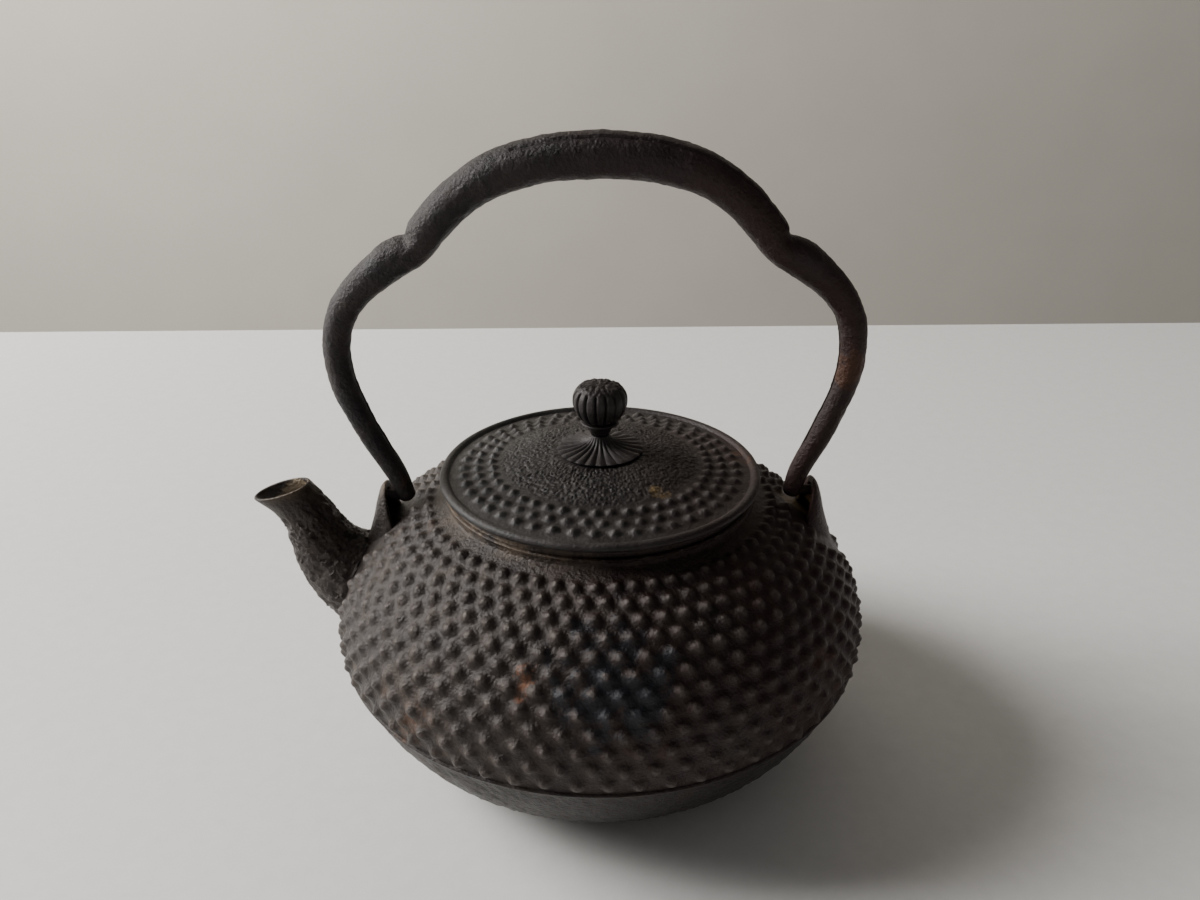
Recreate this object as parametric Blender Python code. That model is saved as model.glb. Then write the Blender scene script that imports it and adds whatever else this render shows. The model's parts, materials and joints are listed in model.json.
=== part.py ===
"""Cast iron water kettle with a hailstone pattern: body, spout, lugs, hollow bail, lid and knob.

Metres, +Z up. The origin is the centre of the flat base, the spout points to -X and the bail
stands in the XZ plane. Every node is one closed solid.
"""
import math

import bmesh
import bpy
from mathutils import Matrix, Vector

# --- driving dimensions -------------------------------------------------------------------
GAP = 0.0003                # clearance between two pieces that touch on the real kettle
WALL = 0.0030               # casting thickness of the body
TURN_STEPS = 40             # facets round a turned piece

BASE_RADIUS = 0.0460        # flat circle that the kettle rests on
BELT_RADIUS = 0.0828        # raised seam line between the studded part and the smooth bowl
BELT_HEIGHT = 0.0370
BELT_PROUD = 0.0006         # how far the seam line stands out of the wall
BELLY_RADIUS = 0.0833
BELLY_HEIGHT = 0.0440
COLLAR_FOOT = (0.0485, 0.0841)   # radius and height where the shoulder meets the collar
COLLAR_STEP = (0.0471, 0.0862)   # radius above the step, and the height of the step
COLLAR_TOP = 0.0890
MOUTH_RADIUS = 0.0436

LID_RADIUS = 0.0497         # over the bead
LID_BEAD = 0.0013           # radius of the bead's round section
LID_SEAT = COLLAR_TOP + GAP
LID_CROWN = 0.0972          # flat top of the dome, under the knob's seat
LID_CROWN_RADIUS = 0.0145
LID_WALL = 0.0028
FLANGE_OUTER = 0.0428       # ring under the lid that drops into the mouth
FLANGE_INNER = 0.0404
FLANGE_END = 0.0836

PIN_RADIUS = 0.0014
PIN_HEAD_RADIUS = 0.0028
PIN_HEAD_HEIGHT = 0.0012
PIN_HOLE_RADIUS = 0.0018    # through the lid, the washer and the knob's seat
SEAT_RADIUS = 0.0134
SEAT_TOP = 0.1026
KNOB_RADIUS = 0.0084
KNOB_TOP = 0.1194
KNOB_SOCKET_TOP = 0.1125
WASHER_RADIUS = 0.0062
WASHER_THICKNESS = 0.0010

HINGE_HEIGHT = 0.0825       # the bail turns about this line, which runs along X
STUB_RADIUS = 0.0017        # hooked end of the bail, in the lug's hole
STUB_END = 0.0692
LUG_HOLE_RADIUS = 0.0022
LUG_WALL = 0.0022
LUG_TOP = 0.0868
LUG_ROOT = 0.0630           # below the body's surface, where the lug is trimmed
BAIL_WALL = 0.0016
SEAM_WIDTH = 0.0011         # open seam along the inner side of the hollow bail
BAIL_SIDES = 14

SPOUT_SIDES = 18
SPOUT_WALL = 0.0024

IRON_BODY = (0.045, 0.036, 0.033)
IRON_LID = (0.040, 0.038, 0.035)
IRON_BAIL = (0.055, 0.040, 0.036)
IRON_KNOB = (0.030, 0.027, 0.028)


# --- helpers ------------------------------------------------------------------------------
def clear_scene():
    for obj in list(bpy.data.objects):
        bpy.data.objects.remove(obj, do_unlink=True)


def iron(name, colour, roughness):
    material = bpy.data.materials.new(name)
    material.use_nodes = True
    shader = material.node_tree.nodes["Principled BSDF"]
    shader.inputs["Base Color"].default_value = (*colour, 1.0)
    shader.inputs["Metallic"].default_value = 0.75
    shader.inputs["Roughness"].default_value = roughness
    material.diffuse_color = (*colour, 1.0)
    return material


def smooth_curve(points, per_span):
    """Points of any dimension, joined by a Catmull-Rom curve with per_span steps a span."""
    rows = [tuple(2 * a - b for a, b in zip(points[0], points[1]))]
    rows += [tuple(p) for p in points]
    rows.append(tuple(2 * a - b for a, b in zip(points[-1], points[-2])))
    out = []
    for i in range(1, len(rows) - 2):
        before, start, end, after = rows[i - 1:i + 3]
        for k in range(per_span):
            t = k / per_span
            out.append(tuple(
                0.5 * (2 * b + (c - a) * t + (2 * a - 5 * b + 4 * c - d) * t ** 2
                       + (3 * b - a - 3 * c + d) * t ** 3)
                for a, b, c, d in zip(before, start, end, after)))
    out.append(tuple(points[-1]))
    return out


def offset_outline(outline, distance):
    """An (r, z) outline that runs upwards, moved inwards by a distance."""
    out = []
    for i, (r, z) in enumerate(outline):
        r0, z0 = outline[max(i - 1, 0)]
        r1, z1 = outline[min(i + 1, len(outline) - 1)]
        length = math.hypot(r1 - r0, z1 - z0)
        out.append((r - distance * (z1 - z0) / length, z + distance * (r1 - r0) / length))
    return out


def finish_mesh(name, bm, material, sharp_degrees=35):
    bmesh.ops.remove_doubles(bm, verts=bm.verts, dist=1e-6)
    bmesh.ops.recalc_face_normals(bm, faces=bm.faces)
    mesh = bpy.data.meshes.new(name)
    bm.to_mesh(mesh)
    bm.free()
    mesh.shade_smooth()
    mesh.set_sharp_from_angle(angle=math.radians(sharp_degrees))
    if material:
        mesh.materials.append(material)
    obj = bpy.data.objects.new(name, mesh)
    bpy.context.scene.collection.objects.link(obj)
    return obj


def turned(name, outline, material, closed, steps=TURN_STEPS):
    """An (r, z) outline spun about Z. A closed one is a ring; an open one ends on the axis."""
    bm = bmesh.new()
    verts = [bm.verts.new((r, 0.0, z)) for r, z in outline]
    pairs = list(zip(verts, verts[1:]))
    if closed:
        pairs.append((verts[-1], verts[0]))
    edges = [bm.edges.new(pair) for pair in pairs]
    bmesh.ops.spin(bm, geom=verts + edges, cent=(0, 0, 0), axis=(0, 0, 1),
                   angle=2 * math.pi, steps=steps, use_merge=True)
    return finish_mesh(name, bm, material)


def lofted(name, rings, material, sharp_degrees=35):
    """A tube through closed rings of points, with a flat cap on each end."""
    bm = bmesh.new()
    loops = [[bm.verts.new(point) for point in ring] for ring in rings]
    for low, high in zip(loops, loops[1:]):
        for i in range(len(low)):
            j = (i + 1) % len(low)
            bm.faces.new((low[i], low[j], high[j], high[i]))
    bm.faces.new(loops[0])
    bm.faces.new(loops[-1])
    return finish_mesh(name, bm, material, sharp_degrees)


def upright_ring(x, z, angle, in_plane, across, sides):
    """An oval ring on a path in the XZ plane, square to the direction given by angle."""
    normal = Vector((-math.sin(angle), 0.0, math.cos(angle)))
    ring = []
    for i in range(sides):
        turn = 2 * math.pi * i / sides
        point = Vector((x, 0.0, z)) + normal * (in_plane * math.cos(turn))
        ring.append(point + Vector((0.0, across * math.sin(turn), 0.0)))
    return ring


def bar(name, start, end, radius, sides=16):
    """A round bar along X, between two x positions at the hinge's height."""
    rings = [upright_ring(x, HINGE_HEIGHT, 0.0, radius, radius, sides) for x in (start, end)]
    return lofted(name, rings, None)


def as_cutter(obj):
    obj.hide_render = True
    obj.display_type = 'WIRE'
    return obj


def boolean(obj, other, operation='DIFFERENCE'):
    modifier = obj.modifiers.new(other.name, 'BOOLEAN')
    modifier.object = other
    modifier.operation = operation
    modifier.solver = 'EXACT'


# --- kettle body --------------------------------------------------------------------------
def bowl_outline(per_span=2):
    """Outside of the lower bowl, from the flat base up to the seam line."""
    points = [(BASE_RADIUS + 0.0030, 0.0006), (0.0578, 0.0050), (0.0665, 0.0112),
              (0.0732, 0.0185), (0.0785, 0.0270), (BELT_RADIUS - 0.0004, BELT_HEIGHT - 0.0012)]
    return [(BASE_RADIUS, 0.0)] + smooth_curve(points, per_span)


def shoulder_outline(per_span=2):
    """Outside of the studded part, from the seam line up to the collar."""
    points = [(BELT_RADIUS, BELT_HEIGHT + 0.0012), (BELLY_RADIUS, BELLY_HEIGHT),
              (0.0818, 0.0525), (0.0776, 0.0612), (0.0708, 0.0700), (0.0615, 0.0776),
              COLLAR_FOOT]
    return smooth_curve(points, per_span)


def body_outside():
    seam = [(BELT_RADIUS + BELT_PROUD, BELT_HEIGHT)]
    return bowl_outline() + seam + shoulder_outline()


def make_body(material):
    collar = [(COLLAR_FOOT[0], COLLAR_STEP[1]), COLLAR_STEP, (COLLAR_STEP[0], COLLAR_TOP),
              (MOUTH_RADIUS, COLLAR_TOP), (MOUTH_RADIUS, COLLAR_FOOT[1] - WALL)]
    lining = offset_outline(bowl_outline(1)[1:] + shoulder_outline(1)[:-1], WALL)
    lining = [point for point in reversed(lining) if point[0] > MOUTH_RADIUS][1:]
    outline = [(0.0, 0.0)] + body_outside() + collar + lining
    outline += [(BASE_RADIUS - 0.001, WALL), (0.0, WALL)]
    return turned("kettle_body", outline, material, closed=False)


def make_clearance():
    """The body as a full solid, a gap larger all round, which trims what stands on it."""
    outside = offset_outline(body_outside(), -GAP)
    outline = [(0.0, outside[0][1])] + outside + [(0.0, outside[-1][1])]
    return as_cutter(turned("body_clearance", outline, None, closed=False))


# --- spout --------------------------------------------------------------------------------
# x, z, direction in degrees from +X, half height in the XZ plane, half width across
SPOUT_SECTIONS = [
    (-0.0710, 0.0490, 150, 0.0165, 0.0150),
    (-0.0810, 0.0554, 142, 0.0140, 0.0136),
    (-0.0870, 0.0624, 122, 0.0112, 0.0112),
    (-0.0900, 0.0694, 107, 0.0091, 0.0091),
    (-0.0925, 0.0759, 110, 0.0080, 0.0077),
    (-0.0958, 0.0809, 112, 0.0080, 0.0068),
    (-0.0996, 0.0846, 105, 0.0092, 0.0064)]


def spout_rings(wall, start_back, end_beyond):
    """Rings of the spout's outside less a wall, carried on past both of its ends."""
    sections = smooth_curve(SPOUT_SECTIONS, 3)
    rings = []
    last = len(sections) - 1
    for i, (x, z, degrees, high, wide) in enumerate(sections):
        angle = math.radians(degrees)
        thickness = wall * (1.0 - 0.45 * i / last)
        rings.append(upright_ring(x, z, angle, high - thickness, wide - thickness, SPOUT_SIDES))
    for ring, degrees, reach in ((0, SPOUT_SECTIONS[0][2], -start_back),
                                 (-1, SPOUT_SECTIONS[-1][2], end_beyond)):
        if reach:
            angle = math.radians(degrees)
            shift = Vector((math.cos(angle), 0.0, math.sin(angle))) * reach
            extra = [point + shift for point in rings[ring]]
            rings.insert(0, extra) if ring == 0 else rings.append(extra)
    return rings


def make_spout(material, body, clearance):
    """The spout, whose passage also opens the body's wall. Gives what trims its neighbours."""
    bore = as_cutter(lofted("spout_bore", spout_rings(SPOUT_WALL, 0.012, 0.004), None))
    spout = lofted("spout", spout_rings(0.0, 0.0, 0.0), material)
    boolean(spout, clearance)
    boolean(spout, bore)
    boolean(body, bore)
    return as_cutter(lofted("spout_clearance", spout_rings(-GAP, 0.0, 0.0), None))


# --- lugs ---------------------------------------------------------------------------------
# z, x of the open edges, depth outwards from them, half width across
LUG_SECTIONS = [
    (LUG_ROOT, 0.0618, 0.0142, 0.0112),
    (0.0700, 0.0632, 0.0104, 0.0099),
    (0.0760, 0.0649, 0.0067, 0.0084),
    (0.0800, 0.0658, 0.0048, 0.0070),
    (0.0832, 0.0664, 0.0034, 0.0056),
    (0.0855, 0.0667, 0.0020, 0.0040),
    (LUG_TOP, 0.0669, 0.0007, 0.0018)]
LUG_ARC = 8                 # facets round the half cone


def lug_arc(side, z, x_edge, depth, width):
    arc = []
    for i in range(LUG_ARC + 1):
        turn = math.pi * (i / LUG_ARC - 0.5)
        arc.append(Vector((side * (x_edge + depth * math.cos(turn)), width * math.sin(turn), z)))
    return arc


def make_lug(name, side, material, clearance):
    """A hollow half cone that opens towards the lid, closed over the top."""
    rows = smooth_curve(LUG_SECTIONS, 2)
    solid = lofted(name, [lug_arc(side, *row) for row in rows], material)
    hollow = []
    for z, x_edge, depth, width in rows[:-3]:
        inner = lug_arc(side, z, x_edge, max(depth - LUG_WALL, 0.0007),
                        max(width - LUG_WALL, 0.0009))
        mouth = [Vector((side * (x_edge - 0.004), point.y, z)) for point in (inner[-1], inner[0])]
        hollow.append(inner + mouth)
    hollow.insert(0, [point - Vector((0.0, 0.0, 0.003)) for point in hollow[0]])
    boolean(solid, as_cutter(lofted(name + "_hollow", hollow, None)))
    boolean(solid, clearance)
    hole = as_cutter(bar(name + "_hole", side * 0.0600, side * 0.0760, LUG_HOLE_RADIUS))
    boolean(solid, hole)
    return solid


# --- bail ---------------------------------------------------------------------------------
# one half of the bail's centre line, from the foot up: x, z, half thickness, half width
BAIL_FOOT = (0.0609, HINGE_HEIGHT, 0.0028, 0.0028)
BAIL_HALF = [
    BAIL_FOOT,
    (0.0632, 0.0900, 0.0032, 0.0034),
    (0.0681, 0.1003, 0.0035, 0.0037),
    (0.0724, 0.1105, 0.0037, 0.0039),
    (0.0755, 0.1205, 0.0039, 0.0042),
    (0.0763, 0.1310, 0.0040, 0.0045),
    (0.0742, 0.1402, 0.0042, 0.0048),
    (0.0698, 0.1470, 0.0046, 0.0052),
    (0.0640, 0.1524, 0.0050, 0.0055),
    (0.0575, 0.1568, 0.0052, 0.0058),
    (0.0515, 0.1610, 0.0053, 0.0060),
    (0.0465, 0.1668, 0.0054, 0.0062),
    (0.0395, 0.1738, 0.0056, 0.0064),
    (0.0292, 0.1803, 0.0060, 0.0067),
    (0.0150, 0.1844, 0.0063, 0.0069),
    (0.0000, 0.1857, 0.0064, 0.0070)]
BAIL_SWAY = 0.0010          # the hand-bent bail bulges this much more towards the spout
HOLLOW_FROM = 5             # the hollow and its seam start this many path rows above each foot


def bail_path():
    """The whole centre line, from the far foot over the top to the spout-side foot."""
    half = smooth_curve(BAIL_HALF, 2)
    whole = half + [(-x, z, thick, wide) for x, z, thick, wide in reversed(half[:-1])]
    rise = BAIL_HALF[-1][1] - HINGE_HEIGHT
    return [(x - BAIL_SWAY * math.sin(math.pi * (z - HINGE_HEIGHT) / rise), z, thick, wide)
            for x, z, thick, wide in whole]


def path_angles(path):
    angles = []
    for i in range(len(path)):
        before, after = path[max(i - 1, 0)], path[min(i + 1, len(path) - 1)]
        angles.append(math.atan2(after[1] - before[1], after[0] - before[0]))
    return angles


def hang_on_hinge(pieces):
    """Parents the bail and its cutters to an empty on the hinge line, where they stay in place."""
    hinge = bpy.data.objects.new("bail_hinge", None)
    hinge.location = (0.0, 0.0, HINGE_HEIGHT)
    bpy.context.scene.collection.objects.link(hinge)
    for piece in pieces:
        piece.parent = hinge
        piece.matrix_parent_inverse = Matrix.Translation((0.0, 0.0, -HINGE_HEIGHT))


def make_bail(material):
    path = bail_path()
    angles = path_angles(path)
    rows = [(x, z, angle, thick, wide) for (x, z, thick, wide), angle in zip(path, angles)]
    foot_x, foot_z, foot_thick, foot_wide = BAIL_FOOT
    rings = [upright_ring(*row, BAIL_SIDES) for row in rows]
    for end, side in ((0, 1), (-1, -1)):
        angle = angles[end]
        down = Vector((math.cos(angle), 0.0, math.sin(angle))) * (-0.0022 * side)
        tip = upright_ring(side * foot_x, foot_z, angle, foot_thick * 0.55, foot_wide * 0.55,
                           BAIL_SIDES)
        tip = [point + down for point in tip]
        rings.insert(0, tip) if end == 0 else rings.append(tip)
    bail = lofted("bail_handle", rings, material)
    stubs = [as_cutter(bar("stub_" + name, side * foot_x, side * STUB_END, STUB_RADIUS))
             for side, name in ((1, "far"), (-1, "spout_side"))]
    for stub in stubs:
        boolean(bail, stub, 'UNION')

    inside = rows[HOLLOW_FROM:-HOLLOW_FROM]
    hollow = [upright_ring(x, z, angle, thick - BAIL_WALL, wide - BAIL_WALL, 10)
              for x, z, angle, thick, wide in inside]
    hollow_cutter = as_cutter(lofted("bail_hollow", hollow, None))
    boolean(bail, hollow_cutter)

    seam = []
    for x, z, angle, thick, wide in inside[1:-1]:
        outward = Vector((math.sin(angle), 0.0, -math.cos(angle)))
        centre = Vector((x, 0.0, z))
        seam.append([centre + outward * depth + Vector((0.0, y, 0.0)) for depth, y in
                     ((-0.0004, -SEAM_WIDTH / 2), (-0.0004, SEAM_WIDTH / 2),
                      (-thick - 0.002, SEAM_WIDTH / 2), (-thick - 0.002, -SEAM_WIDTH / 2))])
    seam_cutter = as_cutter(lofted("bail_seam", seam, None))
    boolean(bail, seam_cutter)
    hang_on_hinge([bail, hollow_cutter, seam_cutter] + stubs)


# --- lid and knob -------------------------------------------------------------------------
def dome_outline(per_span=2):
    """Top of the lid from the crown's edge out to the bead."""
    points = [(LID_CROWN_RADIUS, LID_CROWN), (0.0225, 0.0960), (0.0310, 0.0938),
              (0.0395, 0.0914), (0.0460, 0.0903)]
    return smooth_curve(points, per_span)


def make_lid(material):
    bead_centre = (LID_RADIUS - LID_BEAD, LID_SEAT + LID_BEAD)
    bead = []
    for degrees in range(150, -91, -40):
        turn = math.radians(degrees)
        bead.append((bead_centre[0] + LID_BEAD * math.cos(turn),
                     bead_centre[1] + LID_BEAD * math.sin(turn)))
    flange = [(FLANGE_OUTER, LID_SEAT), (FLANGE_OUTER - 0.0003, FLANGE_END),
              (FLANGE_INNER, FLANGE_END), (FLANGE_INNER, LID_SEAT - 0.0006)]
    under = [(r, z - LID_WALL) for r, z in reversed(dome_outline(1)) if r < FLANGE_INNER - 0.003]
    outline = [(PIN_HOLE_RADIUS, LID_CROWN)] + dome_outline() + bead + flange + under
    outline.append((PIN_HOLE_RADIUS, LID_CROWN - LID_WALL))
    return turned("lid", outline, material, closed=True)


def make_knob_seat(material):
    foot = LID_CROWN + GAP
    outline = [(PIN_HOLE_RADIUS, foot), (SEAT_RADIUS, foot), (SEAT_RADIUS, foot + 0.0007),
               (0.0095, foot + 0.0017), (0.0058, foot + 0.0029), (0.0034, foot + 0.0043),
               (0.0026, SEAT_TOP), (PIN_HOLE_RADIUS, SEAT_TOP)]
    return turned("knob_seat", outline, material, closed=True, steps=36)


def make_knob(material):
    foot = SEAT_TOP + GAP
    bud = smooth_curve([(0.0050, foot + 0.0043), (0.0071, foot + 0.0058), (0.0083, foot + 0.0085),
                        (KNOB_RADIUS, foot + 0.0108), (0.0076, foot + 0.0136),
                        (0.0055, foot + 0.0155), (0.0028, KNOB_TOP - 0.0002)], 2)
    outline = [(0.0, KNOB_SOCKET_TOP), (PIN_HOLE_RADIUS, KNOB_SOCKET_TOP),
               (PIN_HOLE_RADIUS, foot), (0.0029, foot), (0.0037, foot + 0.0016),
               (0.0049, foot + 0.0032), (0.0055, foot + 0.0038)]
    outline += bud + [(0.0, KNOB_TOP)]
    return turned("knob", outline, material, closed=False, steps=32)


def make_pin_and_washer(material):
    under = LID_CROWN - LID_WALL
    washer_top = under - GAP
    washer_foot = washer_top - WASHER_THICKNESS
    washer = turned("knob_washer", [(PIN_HOLE_RADIUS, washer_foot), (WASHER_RADIUS, washer_foot),
                                    (WASHER_RADIUS, washer_top), (PIN_HOLE_RADIUS, washer_top)],
                    material, closed=True, steps=24)
    head_top = washer_foot - GAP
    pin = turned("knob_pin", [(0.0, head_top - PIN_HEAD_HEIGHT),
                              (PIN_HEAD_RADIUS * 0.7, head_top - PIN_HEAD_HEIGHT),
                              (PIN_HEAD_RADIUS, head_top - PIN_HEAD_HEIGHT * 0.4),
                              (PIN_HEAD_RADIUS, head_top), (PIN_RADIUS, head_top),
                              (PIN_RADIUS, KNOB_SOCKET_TOP - GAP),
                              (0.0, KNOB_SOCKET_TOP - GAP)],
                 material, closed=False, steps=16)
    return washer, pin


# --- assembly -----------------------------------------------------------------------------
def main():
    clear_scene()
    body_iron = iron("body_iron", IRON_BODY, 0.62)
    lid_iron = iron("lid_iron", IRON_LID, 0.60)
    bail_iron = iron("bail_iron", IRON_BAIL, 0.50)
    knob_iron = iron("knob_iron", IRON_KNOB, 0.48)

    body = make_body(body_iron)
    clearance = make_clearance()
    spout_clearance = make_spout(body_iron, body, clearance)
    lug = make_lug("lug_spout_side", -1, body_iron, clearance)
    boolean(lug, spout_clearance)
    make_lug("lug_far_side", 1, body_iron, clearance)
    make_bail(bail_iron)
    make_lid(lid_iron)
    make_knob_seat(knob_iron)
    make_knob(knob_iron)
    make_pin_and_washer(knob_iron)


main()
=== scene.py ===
# %% [markdown]
# # A cast iron kettle with a hailstone pattern
# A Japanese kettle of this kind is one thin casting: a bowl, a studded shoulder, a spout and two
# lugs. A hollow forged bail hooks into the lugs, and a studded lid with a bud-shaped knob drops
# into the mouth. The CAD frame gives each piece its place and how it moves. This lesson makes
# the surfaces: studs, pitted skin, petals, hammer marks and old iron.

# %% Load the frame
import json
import math

import bmesh
import bpy
import numpy as np
from mathutils import Matrix, Vector


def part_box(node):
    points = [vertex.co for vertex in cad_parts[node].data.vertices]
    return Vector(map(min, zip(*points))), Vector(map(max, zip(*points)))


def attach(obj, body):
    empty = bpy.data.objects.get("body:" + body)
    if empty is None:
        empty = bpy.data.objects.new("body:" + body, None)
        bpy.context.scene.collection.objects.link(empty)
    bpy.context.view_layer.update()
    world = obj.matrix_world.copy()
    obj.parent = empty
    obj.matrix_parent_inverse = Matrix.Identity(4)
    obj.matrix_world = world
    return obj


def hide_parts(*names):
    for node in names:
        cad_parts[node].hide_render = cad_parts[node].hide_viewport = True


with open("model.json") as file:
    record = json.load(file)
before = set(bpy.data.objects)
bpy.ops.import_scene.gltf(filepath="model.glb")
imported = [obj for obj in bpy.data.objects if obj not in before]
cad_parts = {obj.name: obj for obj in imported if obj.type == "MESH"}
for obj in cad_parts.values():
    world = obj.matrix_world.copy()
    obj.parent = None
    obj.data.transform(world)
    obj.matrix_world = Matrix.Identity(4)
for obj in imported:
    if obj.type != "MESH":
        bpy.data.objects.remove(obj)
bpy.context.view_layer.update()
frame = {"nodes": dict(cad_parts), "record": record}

bodies = frame["record"]["behaviour"]["bodies"]
print("bodies:", {name: len(nodes) for name, nodes in bodies.items()})

# %% [markdown]
# ## Sizes
# A few sizes drive everything. They are the maker's own: the base that it stands on, the seam
# line where the two halves of the mould met, the mouth, the lid and the hinge line. The frame's
# boxes give the heights, so that a new surface can't drift away from its solid.

# %% Sizes
MM = 0.001
BASE_RADIUS = 46.0 * MM
SEAM_HEIGHT = 37.0 * MM
WALL = 3.0 * MM
MOUTH_RADIUS = 43.6 * MM
COLLAR_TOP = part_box("kettle_body")[1].z
LID_LOW, LID_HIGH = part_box("lid")
SEAT_LOW, SEAT_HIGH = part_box("knob_seat")
KNOB_LOW, KNOB_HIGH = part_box("knob")
HINGE_HEIGHT = frame["record"]["behaviour"]["joints"][0]["pos_m"][2]
PIN_HOLE = 1.8 * MM
print("collar", round(COLLAR_TOP, 4), "lid", round(LID_HIGH.z, 4), "knob", round(KNOB_HIGH.z, 4))

# %% [markdown]
# ## Curves
# An outline is given by the few points that its shape needs. A smooth curve runs through them,
# and it is then walked in even steps, because studs and pits need faces of an even size.


# %% Curve helpers
def curve_through(points, per_span=12):
    """A Catmull-Rom curve through points of any dimension."""
    rows = [np.array(point, float) for point in points]
    rows = [2 * rows[0] - rows[1]] + rows + [2 * rows[-1] - rows[-2]]
    out = []
    for a, b, c, d in zip(rows, rows[1:], rows[2:], rows[3:]):
        for t in np.arange(per_span) / per_span:
            out.append(0.5 * (2 * b + (c - a) * t + (2 * a - 5 * b + 4 * c - d) * t ** 2
                              + (3 * b - a - 3 * c + d) * t ** 3))
    return np.array(out + [rows[-2]])


def lengths_along(curve):
    """Distance walked to each point, over the first two coordinates."""
    steps = np.hypot(*np.diff(curve[:, :2], axis=0).T)
    return np.concatenate([[0.0], np.cumsum(steps)])


def even_steps(curve, step):
    """The same curve with points about one step apart."""
    walked = lengths_along(curve)
    count = max(1, round(walked[-1] / step))
    stops = np.linspace(0.0, walked[-1], count + 1)
    return np.array([[np.interp(s, walked, column) for column in curve.T] for s in stops])


def inset(outline, distance):
    """An upward (r, z) outline, moved inwards by a distance."""
    slope = np.gradient(outline, axis=0)
    slope /= np.linalg.norm(slope, axis=1)[:, None]
    return outline + distance * np.column_stack([-slope[:, 1], slope[:, 0]])


# %% [markdown]
# ## The lathe
# Bowls, lids and knobs are turned shapes. By hand in Blender this is one vertex, extruded along
# the outline, then spun about Z. The spin leaves a double row where it closes, so doubles are
# merged first and the normals are recalculated after that.


# %% Lathe
def deselect_all():
    if bpy.context.mode != 'OBJECT':
        bpy.ops.object.mode_set(mode='OBJECT')
    bpy.ops.object.select_all(action='DESELECT')


def name_piece(name):
    piece = bpy.context.object
    piece.name = name
    piece.data.name = name
    return piece


def turn(name, outline, segments):
    """Spin an (r, z) outline about Z into a closed skin."""
    deselect_all()
    bpy.ops.mesh.primitive_plane_add(size=MM)
    piece = name_piece(name)
    bpy.ops.object.mode_set(mode='EDIT')
    bpy.ops.mesh.merge(type='CENTER')
    bpy.ops.transform.translate(value=(outline[0][0], 0, outline[0][1]))
    for (r0, z0), (r1, z1) in zip(outline, outline[1:]):
        bpy.ops.mesh.extrude_vertices_move(
            TRANSFORM_OT_translate={"value": (float(r1 - r0), 0, float(z1 - z0))})
    bpy.ops.mesh.select_all(action='SELECT')
    bpy.ops.mesh.spin(steps=segments, angle=2 * math.pi, center=(0, 0, 0), axis=(0, 0, 1))
    bpy.ops.mesh.select_all(action='SELECT')
    bpy.ops.mesh.remove_doubles(threshold=2e-6)
    bpy.ops.mesh.normals_make_consistent(inside=False)
    bpy.ops.object.mode_set(mode='OBJECT')
    print(name, len(piece.data.polygons), "faces")
    return piece


# %% [markdown]
# ## Pushing a pattern out of a skin
# Studs, petals and grooves are raised on the finished skin, as the mould maker pressed them into
# the clay. A vertex group says how far each point is pushed, from 0 to 1, and a Displace modifier
# pushes it along its normal. The same numbers are kept as an attribute, so that the material
# knows where the tips are: it makes them lighter, partly as wear and partly as a painted
# highlight, with the hollows between them darker as painted shade.


# %% Displacement helpers
def apply_modifier(piece, modifier):
    deselect_all()
    bpy.context.view_layer.objects.active = piece
    piece.select_set(True)
    bpy.ops.object.modifier_apply(modifier=modifier.name)


def points_of(piece):
    co = np.empty(len(piece.data.vertices) * 3)
    piece.data.vertices.foreach_get("co", co)
    return co.reshape(-1, 3)


def make_group(piece, name, weights):
    group = piece.vertex_groups.new(name=name)
    weights = np.clip(weights, 0.0, 1.0)
    for index in np.nonzero(weights > 0.002)[0]:
        group.add([int(index)], float(weights[index]), 'REPLACE')
    return group


def keep_attribute(piece, name, values):
    layer = piece.data.attributes.new(name, 'FLOAT', 'POINT')
    layer.data.foreach_set("value", np.asarray(values, np.float32))


def push(piece, weights, height, name):
    """Move points along their normals by weight times height."""
    group = make_group(piece, name, weights)
    modifier = piece.modifiers.new(name, 'DISPLACE')
    modifier.vertex_group = group.name
    modifier.mid_level = 0.0
    modifier.strength = height
    apply_modifier(piece, modifier)


def roughen(piece, weights, depth, grain, kind='CLOUDS', name="skin"):
    """Push a cloudy or pitted texture into the skin, where the weights allow it."""
    group = make_group(piece, name, weights)
    texture = bpy.data.textures.new(piece.name + "_" + name, kind)
    texture.noise_scale = grain
    if kind == 'CLOUDS':
        texture.noise_depth = 2
    modifier = piece.modifiers.new(name, 'DISPLACE')
    modifier.texture = texture
    modifier.texture_coords = 'LOCAL'
    modifier.vertex_group = group.name
    modifier.mid_level = 0.5
    modifier.strength = depth
    apply_modifier(piece, modifier)


def smooth(piece, degrees=40):
    deselect_all()
    bpy.context.view_layer.objects.active = piece
    piece.select_set(True)
    bpy.ops.object.shade_smooth_by_angle(angle=math.radians(degrees))


# %% [markdown]
# ## Studs
# The hailstones stand in rings, and each ring is turned by half a stud from the next, so that
# they fill the shoulder like a honeycomb. A stud is a soft cone. Every one was pressed by hand,
# so each gets its own small error in place, width and height, from a seeded random generator.


# %% Stud field
HAND_SLIP = 0.018
HAND_RISE = 0.16 * MM
USUAL_HEIGHT = 0.93
HEIGHT_SPREAD = 0.06
CROWDED = 2.3
SHARPNESS = 1.1


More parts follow.
